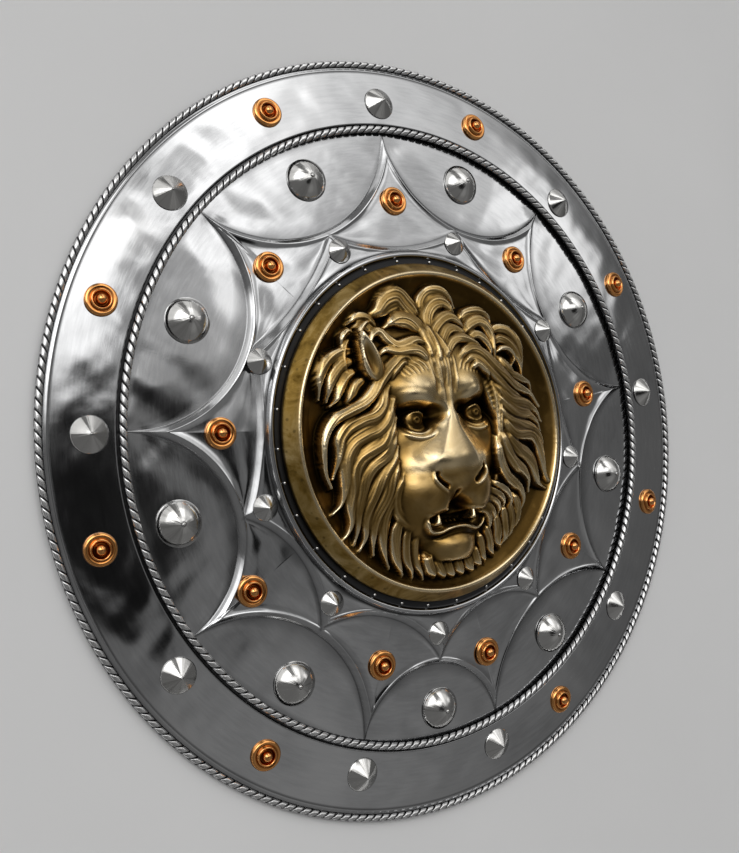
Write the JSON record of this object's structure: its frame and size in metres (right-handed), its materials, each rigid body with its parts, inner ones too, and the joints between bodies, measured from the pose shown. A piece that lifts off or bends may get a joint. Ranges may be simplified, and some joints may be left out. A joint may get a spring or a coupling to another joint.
{
  "type": "buckler shield",
  "caption": "Round domed steel shield with scalloped tiers, roped rim, studs, copper rosettes and a brass lion boss, lying on its back.",
  "frame": {"origin": "centre of the rim's resting plane, under the middle of the boss", "axes": "+Z out of the face, +Y to the top of the lion's head, +X to the viewer's right; the shield lies on its back"},
  "size_m": [0.6, 0.6, 0.0744],
  "materials": {
    "plate_steel": "polished, faintly brushed",
    "rope_steel": "polished with dark recesses",
    "stud_steel": "mirror polished",
    "lion_brass": "antique patina, rubbed bright on the high points",
    "rosette_copper": "polished copper"
  },
  "bodies": {
    "root": {"shield_plate": "plate_steel", "rim_rope": "rope_steel", "field_rope": "rope_steel", "lion_medallion": "lion_brass", "dome_stud_1": "stud_steel", "band_cone_1": "stud_steel", "boss_cone_1": "stud_steel", "inner_rosette_1": "rosette_copper", "outer_rosette_1": "rosette_copper", "dome_stud_2": "stud_steel", "band_cone_2": "stud_steel", "boss_cone_2": "stud_steel", "inner_rosette_2": "rosette_copper", "outer_rosette_2": "rosette_copper", "dome_stud_3": "stud_steel", "band_cone_3": "stud_steel", "boss_cone_3": "stud_steel", "inner_rosette_3": "rosette_copper", "outer_rosette_3": "rosette_copper", "dome_stud_4": "stud_steel", "band_cone_4": "stud_steel", "boss_cone_4": "stud_steel", "inner_rosette_4": "rosette_copper", "outer_rosette_4": "rosette_copper", "dome_stud_5": "stud_steel", "band_cone_5": "stud_steel", "boss_cone_5": "stud_steel", "inner_rosette_5": "rosette_copper", "dome_stud_6": "stud_steel", "band_cone_6": "stud_steel", "boss_cone_6": "stud_steel", "inner_rosette_6": "rosette_copper", "outer_rosette_6": "rosette_copper", "dome_stud_7": "stud_steel", "band_cone_7": "stud_steel", "boss_cone_7": "stud_steel", "inner_rosette_7": "rosette_copper", "outer_rosette_7": "rosette_copper", "dome_stud_8": "stud_steel", "band_cone_8": "stud_steel", "boss_cone_8": "stud_steel", "inner_rosette_8": "rosette_copper", "outer_rosette_8": "rosette_copper", "dome_stud_9": "stud_steel", "band_cone_9": "stud_steel", "boss_cone_9": "stud_steel", "inner_rosette_9": "rosette_copper", "outer_rosette_9": "rosette_copper"}
  },
  "joints": []
}
